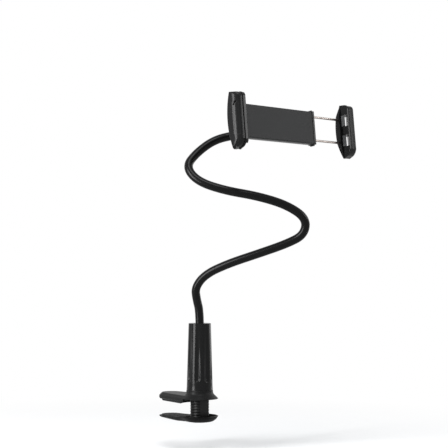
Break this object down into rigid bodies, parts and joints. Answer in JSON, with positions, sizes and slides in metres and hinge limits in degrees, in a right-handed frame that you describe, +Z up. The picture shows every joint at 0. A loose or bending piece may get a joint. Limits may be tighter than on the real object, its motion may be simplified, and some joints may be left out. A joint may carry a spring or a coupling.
{
  "type": "flexible gooseneck tablet holder",
  "caption": "table clamp with a tall fluted screw grip, a bendable gooseneck and a sprung, sliding jaw holder on a locking ball joint, which grips a tablet or phone by its edges",
  "frame": {"origin": "the middle of the upper clamp pad's face, where it rests on the table top", "axes": "+Z is up, +Y runs from the table's edge in over the table, +X runs along the edge to the right of a user who sits facing +Y, who looks at the holder's front"},
  "size_m": [0.2258, 0.2249, 0.4494],
  "materials": {
    "shell": "satin",
    "jaw_cover": "satin",
    "soft_pad": "matte",
    "grey_pad": "matte",
    "sheath": "gloss",
    "core": "plain",
    "ferrule": "satin",
    "steel": "plain",
    "chromed": "polished",
    "brass": "plain",
    "post_metal": "black",
    "bearing_plastic": "natural"
  },
  "bodies": {
    "clamp": {"upper_jaw": "shell", "upper_jaw_pad": "soft_pad", "grip_retaining_ring": "steel", "thrust_washer": "bearing_plastic"},
    "grip": {"grip": "shell", "grip_nut": "brass", "grip_bush": "bearing_plastic"},
    "lower_clamp_jaw": {"lower_jaw": "shell", "lower_jaw_pad": "soft_pad", "clamp_post": "post_metal", "post_screws": "steel"},
    "neck_base": {"neck_ferrule_lower": "ferrule", "neck_sheath_1": "sheath", "neck_core_1": "core", "neck_sheath_bend_1": "sheath", "neck_core_bend_1": "core"},
    "neck_low_run": {"neck_sheath_2": "sheath", "neck_core_2": "core", "neck_sheath_bend_2": "sheath", "neck_core_bend_2": "core"},
    "neck_high_run": {"neck_sheath_3": "sheath", "neck_core_3": "core", "neck_sheath_bend_3": "sheath", "neck_core_bend_3": "core"},
    "neck_end": {"neck_sheath_4": "sheath", "neck_core_4": "core", "neck_ferrule_upper": "ferrule"},
    "stud": {"ball_stud": "steel"},
    "seat": {"ball_seat": "bearing_plastic"},
    "holder": {"rear_housing": "shell", "front_panel": "shell", "end_cap": "shell", "housing_screws": "steel", "fixed_jaw_frame": "shell", "fixed_jaw_cover": "jaw_cover", "fixed_jaw_pads": "grey_pad", "fixed_jaw_screws": "steel"},
    "clamping_nut": {"lock_nut": "shell"},
    "sliding_jaw": {"sliding_jaw_frame": "shell", "sliding_jaw_cover": "jaw_cover", "sliding_jaw_pads": "grey_pad", "guide_rods": "chromed", "rod_collars": "steel", "rod_springs": "steel", "rod_screws": "steel"}
  },
  "joints": [
    {"name": "grip_turn", "type": "hinge", "parent": "clamp", "child": "grip", "pos_m": [0, -0.046, 0.06], "axis": [0, 0, 1], "range_deg": [-1350, 3150]},
    {"name": "jaw_slide", "type": "slide", "parent": "clamp", "child": "lower_clamp_jaw", "axis": [0, 0, 1], "range_m": [-0.035, 0.015]},
    {"name": "neck_swivel", "type": "hinge", "parent": "clamp", "child": "neck_base", "pos_m": [0, -0.046, 0.1], "axis": [0, 0, 1], "range_deg": [-180, 180]},
    {"name": "neck_bend_1", "type": "hinge", "parent": "neck_base", "child": "neck_low_run", "pos_m": [-0.0045, -0.0505, 0.173], "axis": [0.8352, 0.5375, 0.1169], "range_deg": [-25, 25], "deforming": ["neck_sheath_bend_1", "neck_core_bend_1"]},
    {"name": "neck_bend_2", "type": "hinge", "parent": "neck_low_run", "child": "neck_high_run", "pos_m": [0.074, -0.182, 0.248], "axis": [-0.6415, -0.7317, -0.2305], "range_deg": [-24, 24], "deforming": ["neck_sheath_bend_2", "neck_core_bend_2"]},
    {"name": "neck_bend_3", "type": "hinge", "parent": "neck_high_run", "child": "neck_end", "pos_m": [-0.042, -0.0745, 0.331], "axis": [0.5692, 0.6292, -0.5293], "range_deg": [-25, 20], "deforming": ["neck_sheath_bend_3", "neck_core_bend_3"]},
    {"name": "ball_roll", "type": "hinge", "parent": "neck_end", "child": "stud", "pos_m": [0.028, -0.149, 0.385], "axis": [0, 0.9945, -0.1045], "range_deg": [-180, 15]},
    {"name": "ball_pan", "type": "hinge", "parent": "stud", "child": "seat", "pos_m": [0.028, -0.149, 0.385], "axis": [0, 0.1045, 0.9945], "range_deg": [-15, 15]},
    {"name": "ball_tilt", "type": "hinge", "parent": "seat", "child": "holder", "pos_m": [0.028, -0.149, 0.385], "axis": [1, 0, 0], "range_deg": [-15, 15]},
    {"name": "lock_nut_turn", "type": "hinge", "parent": "holder", "child": "clamping_nut", "pos_m": [0.028, -0.149, 0.385], "axis": [0, 0.9945, -0.1045], "range_deg": [-5, 120]},
    {"name": "jaw_pull", "type": "slide", "parent": "holder", "child": "sliding_jaw", "axis": [1, 0, 0], "range_m": [-0.05, 0.025], "stiffness_N_per_m": 60, "springref_m": -0.1, "deforming": ["rod_springs"]}
  ],
  "couplings": [
    {"joint": "grip_turn", "follows": "jaw_slide", "rad_per_m": -1570.8}
  ]
}
